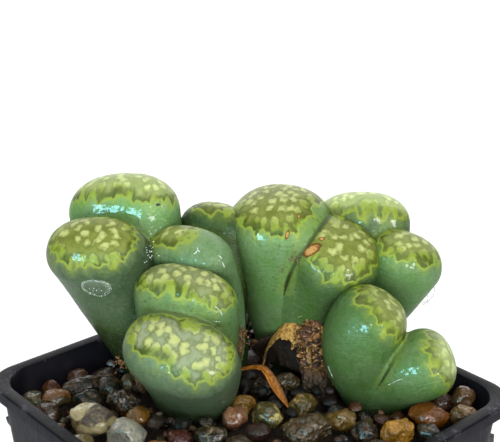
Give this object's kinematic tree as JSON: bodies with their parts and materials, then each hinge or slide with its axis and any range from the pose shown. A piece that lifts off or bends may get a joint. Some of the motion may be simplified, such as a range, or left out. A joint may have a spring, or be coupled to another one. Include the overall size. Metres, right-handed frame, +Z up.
{
  "type": "potted lithops julii",
  "caption": "Clump of two-lobed living-stone heads with olive netted windows in a square black nursery pot filled with soil and topped with river pebbles and grit.",
  "frame": {"origin": "middle of the pot's flat underside", "axes": "+Z up, X and Y square to the pot's sides; the clump is seen as in the picture from azimuth 48 degrees, over the corner at +X and -Y"},
  "size_m": [0.0778, 0.0752, 0.0966],
  "materials": {
    "pot_plastic": "satin",
    "leaf_skin": "satin",
    "root_fibre": "matte",
    "dry_skin": "matte",
    "dry_strip_skin": "satin",
    "stone_rust": "satin",
    "stone_brown": "satin",
    "stone_ochre": "satin",
    "stone_pale": "satin",
    "stone_dark": "satin",
    "grit_stone": "satin",
    "soil": "matte"
  },
  "bodies": {
    "root": {"pot": "pot_plastic", "head_left_front": "leaf_skin", "head_right_front": "leaf_skin", "head_centre": "leaf_skin", "head_left_rear": "leaf_skin", "head_right_rear": "leaf_skin", "head_mid_rear": "leaf_skin", "root_crown": "root_fibre", "dry_sheath": "dry_skin", "dry_strip": "dry_strip_skin", "dry_collar_left": "dry_skin", "dry_collar_right": "dry_skin", "dry_collar_centre": "dry_skin", "pebble_red_brown": "stone_rust", "pebble_rust_back": "stone_rust", "pebble_purple_slab": "stone_brown", "pebble_mauve": "stone_brown", "pebble_ochre": "stone_ochre", "pebble_pale_green": "stone_pale", "pebble_left_brown": "stone_brown", "pebble_dark_green": "stone_dark", "pebble_speckled": "stone_dark", "pebble_cream_small": "stone_pale", "pebble_brown_big": "stone_brown", "pebble_cream_slate": "stone_pale", "pebble_pale_round": "stone_pale", "pebble_orange_brown": "stone_rust", "pebble_olive_tan": "stone_ochre", "pebble_orange_front": "stone_rust", "pebble_dark_red": "stone_rust", "pebble_slate_front": "stone_dark", "pebble_pink": "stone_pale", "pebble_orange_mid": "stone_rust", "pebble_dark_streak": "stone_dark", "pebble_under_arch": "stone_dark", "pebble_dark_hollow": "stone_dark", "pebble_crumbly": "stone_ochre", "pebble_big_front": "stone_brown", "pebble_tan": "stone_ochre", "pebble_dark_grey": "stone_dark", "pebble_orange_nodule": "stone_rust", "pebble_grey_right": "stone_dark", "pebble_bright_orange": "stone_rust", "pebble_purple_right": "stone_brown", "pebble_brown_corner": "stone_brown", "pebble_tan_crumbly": "stone_ochre", "pebble_rear_left": "stone_brown", "pebble_rear_pale": "stone_pale", "pebble_rear_dark": "stone_dark", "pebble_rear_orange": "stone_rust", "pebble_rear_right": "stone_brown", "grit": "grit_stone", "soil": "soil"}
  },
  "joints": []
}
